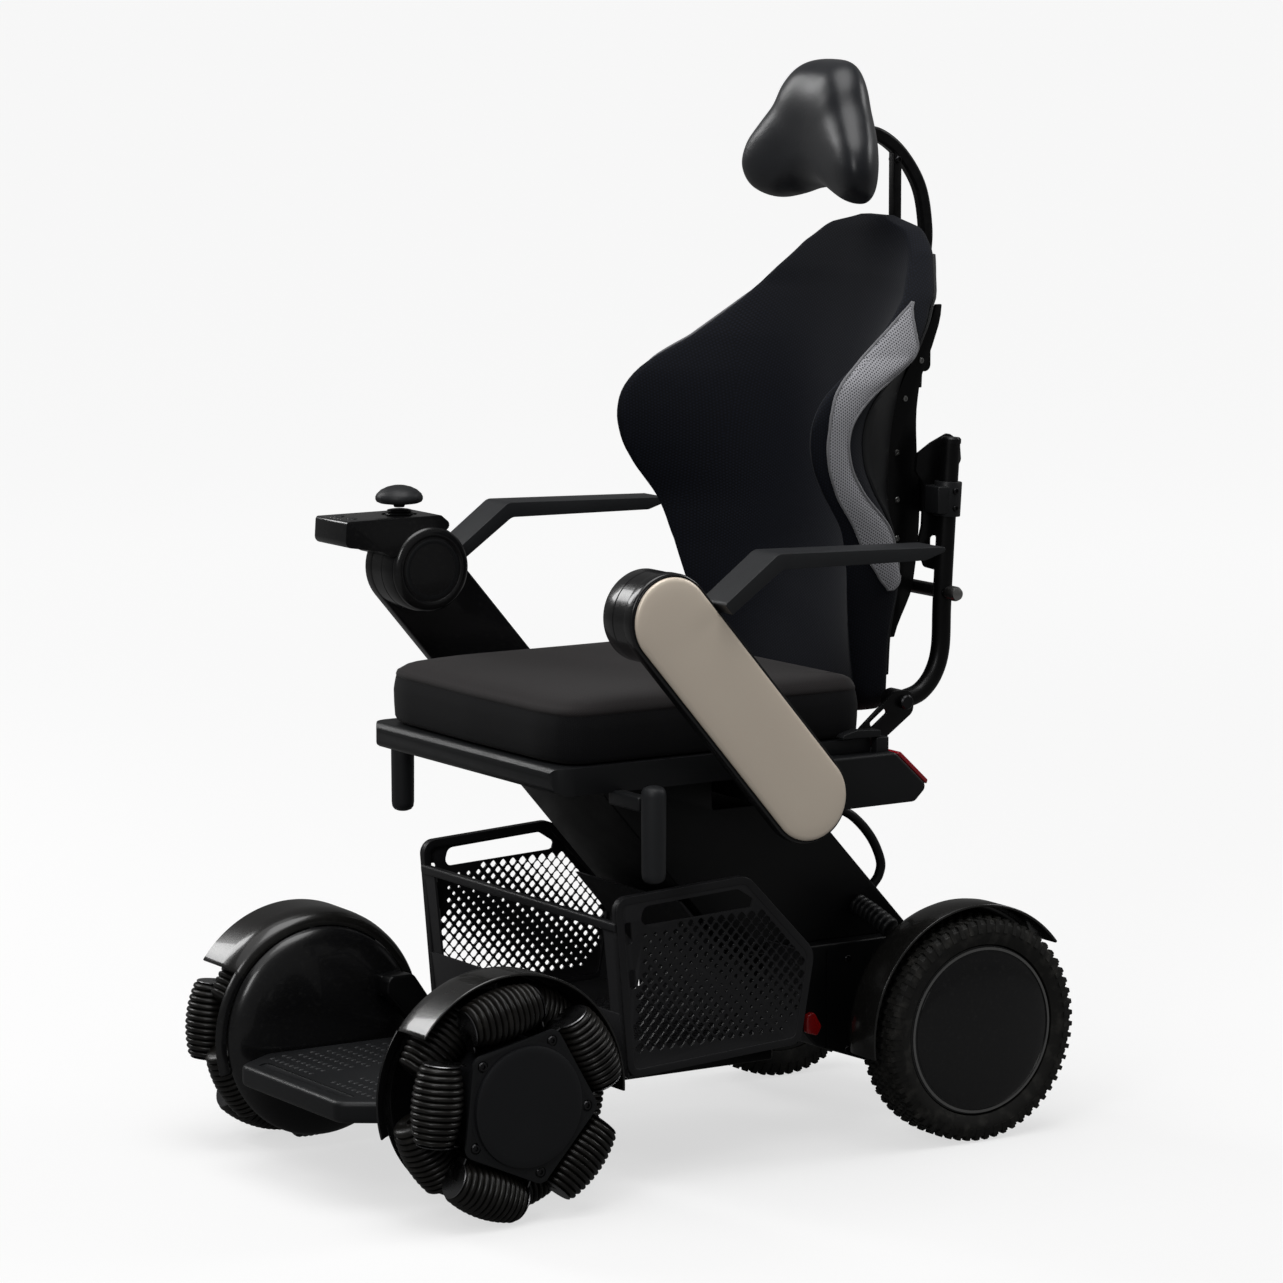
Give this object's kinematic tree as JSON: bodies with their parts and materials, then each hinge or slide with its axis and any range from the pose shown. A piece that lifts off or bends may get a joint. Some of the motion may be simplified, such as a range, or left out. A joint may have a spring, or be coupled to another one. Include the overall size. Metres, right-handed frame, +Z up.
{
  "type": "power wheelchair",
  "caption": "Powered wheelchair with roller front wheels, driven rear wheels, lift-up arms with a joystick, a basket, a contoured back and a headrest.",
  "frame": {"origin": "on the floor, midway along and across the chair", "axes": "+Z up, -Y the way the chair drives forward, +X the sitter's left"},
  "size_m": [0.624, 0.9258, 1.249],
  "materials": {
    "satin_black": "satin moulded black plastic with a fine grain",
    "gloss_black": "polished black plastic",
    "roller_rubber": "soft black rubber",
    "tyre_rubber": "black tyre rubber",
    "basket_plastic": "dark grey moulded plastic",
    "pad_grey": "charcoal soft-touch plastic",
    "champagne": "satin champagne metallic paint",
    "seat_fabric": "charcoal stretch fabric",
    "back_mesh": "blue-black spacer mesh with a grey mesh edge",
    "head_vinyl": "black coated fabric with a soft sheen",
    "black_metal": "black powder coat",
    "lamp_red": "clear red plastic",
    "cable_black": "black cable sheath",
    "lever_red": "red moulded plastic"
  },
  "bodies": {
    "chassis": {"base_housing": "satin_black", "main_beam": "satin_black", "battery_pack": "satin_black", "front_frame": "black_metal", "footplate": "satin_black", "basket": "basket_plastic", "seat_harness": "cable_black", "front_fender_left": "gloss_black", "front_fender_right": "gloss_black", "wheel_cover_left": "gloss_black", "wheel_cover_right": "gloss_black", "rear_fender_left": "gloss_black", "rear_fender_right": "gloss_black", "drive_motor_left": "black_metal", "drive_motor_right": "black_metal", "motor_cable_left": "cable_black", "motor_cable_right": "cable_black"},
    "front_wheel_left": {"front_hub_left": "satin_black", "inner_rollers_left": "roller_rubber"},
    "front_wheel_right": {"front_hub_right": "satin_black", "inner_rollers_right": "roller_rubber"},
    "rear_wheel_left": {"rear_tyre_left": "tyre_rubber", "rear_rim_left": "gloss_black"},
    "rear_wheel_right": {"rear_tyre_right": "tyre_rubber", "rear_rim_right": "gloss_black"},
    "seat": {"seat_tray": "satin_black", "seat_cushion": "seat_fabric", "rear_housing": "satin_black", "rear_lamp": "lamp_red", "side_post_left": "pad_grey", "side_post_right": "pad_grey"},
    "arm_left": {"arm_housing_left": "satin_black", "arm_panel_left": "champagne", "arm_pad_left": "pad_grey"},
    "arm_right": {"arm_housing_right": "satin_black", "arm_panel_right": "champagne", "arm_pad_right": "pad_grey", "controller_pod": "satin_black"},
    "joystick_gimbal": {"joystick_boot": "cable_black"},
    "joystick": {"joystick_knob": "pad_grey"},
    "power_button": {"power_button": "pad_grey"},
    "speed_button": {"speed_button": "pad_grey"},
    "backrest": {"backrest_cushion": "back_mesh", "backrest_shell": "satin_black", "back_frame": "black_metal"},
    "headrest_mount": {"headrest_stem": "black_metal"},
    "headrest": {"headrest_pad": "head_vinyl"},
    "back_release_lever": {"back_release_lever": "satin_black"},
    "brake_lever_left": {"brake_lever_left": "lever_red"},
    "brake_lever_right": {"brake_lever_right": "lever_red"},
    "roller_left_1": {"roller_left_1": "roller_rubber"},
    "roller_left_2": {"roller_left_2": "roller_rubber"},
    "roller_left_3": {"roller_left_3": "roller_rubber"},
    "roller_left_4": {"roller_left_4": "roller_rubber"},
    "roller_left_5": {"roller_left_5": "roller_rubber"},
    "roller_right_1": {"roller_right_1": "roller_rubber"},
    "roller_right_2": {"roller_right_2": "roller_rubber"},
    "roller_right_3": {"roller_right_3": "roller_rubber"},
    "roller_right_4": {"roller_right_4": "roller_rubber"},
    "roller_right_5": {"roller_right_5": "roller_rubber"}
  },
  "joints": [
    {"name": "front_wheel_left_spin", "type": "hinge", "parent": "chassis", "child": "front_wheel_left", "pos_m": [0.26, -0.317, 0.1325], "axis": [1, 0, 0], "continuous": true},
    {"name": "front_wheel_right_spin", "type": "hinge", "parent": "chassis", "child": "front_wheel_right", "pos_m": [-0.26, -0.317, 0.1325], "axis": [1, 0, 0], "continuous": true},
    {"name": "rear_wheel_left_spin", "type": "hinge", "parent": "chassis", "child": "rear_wheel_left", "pos_m": [0.2035, 0.33, 0.1325], "axis": [1, 0, 0], "continuous": true},
    {"name": "rear_wheel_right_spin", "type": "hinge", "parent": "chassis", "child": "rear_wheel_right", "pos_m": [-0.2035, 0.33, 0.1325], "axis": [1, 0, 0], "continuous": true},
    {"name": "seat_slide", "type": "slide", "parent": "chassis", "child": "seat", "axis": [0, -1, 0], "range_m": [0, 0.03]},
    {"name": "arm_left_lift", "type": "hinge", "parent": "seat", "child": "arm_left", "pos_m": [0.2835, 0.044, 0.442], "axis": [1, 0, 0], "range_deg": [-60, 0]},
    {"name": "arm_right_lift", "type": "hinge", "parent": "seat", "child": "arm_right", "pos_m": [-0.2835, 0.044, 0.442], "axis": [1, 0, 0], "range_deg": [-60, 0]},
    {"name": "joystick_fore_aft", "type": "hinge", "parent": "arm_right", "child": "joystick_gimbal", "pos_m": [-0.262, -0.161, 0.716], "axis": [1, 0, 0], "range_deg": [-12, 12], "stiffness_Nm_per_rad": 0.4},
    {"name": "joystick_side", "type": "hinge", "parent": "joystick_gimbal", "child": "joystick", "pos_m": [-0.262, -0.161, 0.716], "axis": [0, 1, 0], "range_deg": [-12, 12], "stiffness_Nm_per_rad": 0.4},
    {"name": "power_button_press", "type": "slide", "parent": "arm_right", "child": "power_button", "axis": [0, 0, -1], "range_m": [0, 0.0012], "stiffness_N_per_m": 600},
    {"name": "speed_button_press", "type": "slide", "parent": "arm_right", "child": "speed_button", "axis": [0, 0, -1], "range_m": [0, 0.0012], "stiffness_N_per_m": 600},
    {"name": "backrest_recline", "type": "hinge", "parent": "seat", "child": "backrest", "pos_m": [0, 0.25, 0.519], "axis": [1, 0, 0], "range_deg": [-12, 0]},
    {"name": "headrest_height", "type": "slide", "parent": "backrest", "child": "headrest_mount", "axis": [0, 0, 1], "range_m": [0, 0.06]},
    {"name": "headrest_tilt", "type": "hinge", "parent": "headrest_mount", "child": "headrest", "pos_m": [0, 0.299, 1.162], "axis": [1, 0, 0], "range_deg": [-20, 20]},
    {"name": "back_release_lever_lift", "type": "hinge", "parent": "seat", "child": "back_release_lever", "pos_m": [0.212, 0.191, 0.492], "axis": [1, 0, 0], "range_deg": [-35, 0]},
    {"name": "brake_lever_left_turn", "type": "hinge", "parent": "chassis", "child": "brake_lever_left", "pos_m": [0.13, 0.163, 0.15], "axis": [1, 0, 0], "range_deg": [0, 35]},
    {"name": "brake_lever_right_turn", "type": "hinge", "parent": "chassis", "child": "brake_lever_right", "pos_m": [-0.13, 0.163, 0.15], "axis": [1, 0, 0], "range_deg": [0, 35]},
    {"name": "roller_left_1_spin", "type": "hinge", "parent": "front_wheel_left", "child": "roller_left_1", "pos_m": [0.26, -0.22737, 0.18425], "axis": [0, -0.5, 0.866], "continuous": true},
    {"name": "roller_left_2_spin", "type": "hinge", "parent": "front_wheel_left", "child": "roller_left_2", "pos_m": [0.26, -0.33852, 0.23374], "axis": [0, -0.9781, -0.2079], "continuous": true},
    {"name": "roller_left_3_spin", "type": "hinge", "parent": "front_wheel_left", "child": "roller_left_3", "pos_m": [0.26, -0.41993, 0.14332], "axis": [0, -0.1045, -0.9945], "continuous": true},
    {"name": "roller_left_4_spin", "type": "hinge", "parent": "front_wheel_left", "child": "roller_left_4", "pos_m": [0.26, -0.3591, 0.03795], "axis": [0, 0.9135, -0.4067], "continuous": true},
    {"name": "roller_left_5_spin", "type": "hinge", "parent": "front_wheel_left", "child": "roller_left_5", "pos_m": [0.26, -0.24008, 0.06324], "axis": [0, 0.6691, 0.7431], "continuous": true},
    {"name": "roller_right_1_spin", "type": "hinge", "parent": "front_wheel_right", "child": "roller_right_1", "pos_m": [-0.26, -0.22737, 0.18425], "axis": [0, -0.5, 0.866], "continuous": true},
    {"name": "roller_right_2_spin", "type": "hinge", "parent": "front_wheel_right", "child": "roller_right_2", "pos_m": [-0.26, -0.33852, 0.23374], "axis": [0, -0.9781, -0.2079], "continuous": true},
    {"name": "roller_right_3_spin", "type": "hinge", "parent": "front_wheel_right", "child": "roller_right_3", "pos_m": [-0.26, -0.41993, 0.14332], "axis": [0, -0.1045, -0.9945], "continuous": true},
    {"name": "roller_right_4_spin", "type": "hinge", "parent": "front_wheel_right", "child": "roller_right_4", "pos_m": [-0.26, -0.3591, 0.03795], "axis": [0, 0.9135, -0.4067], "continuous": true},
    {"name": "roller_right_5_spin", "type": "hinge", "parent": "front_wheel_right", "child": "roller_right_5", "pos_m": [-0.26, -0.24008, 0.06324], "axis": [0, 0.6691, 0.7431], "continuous": true}
  ]
}
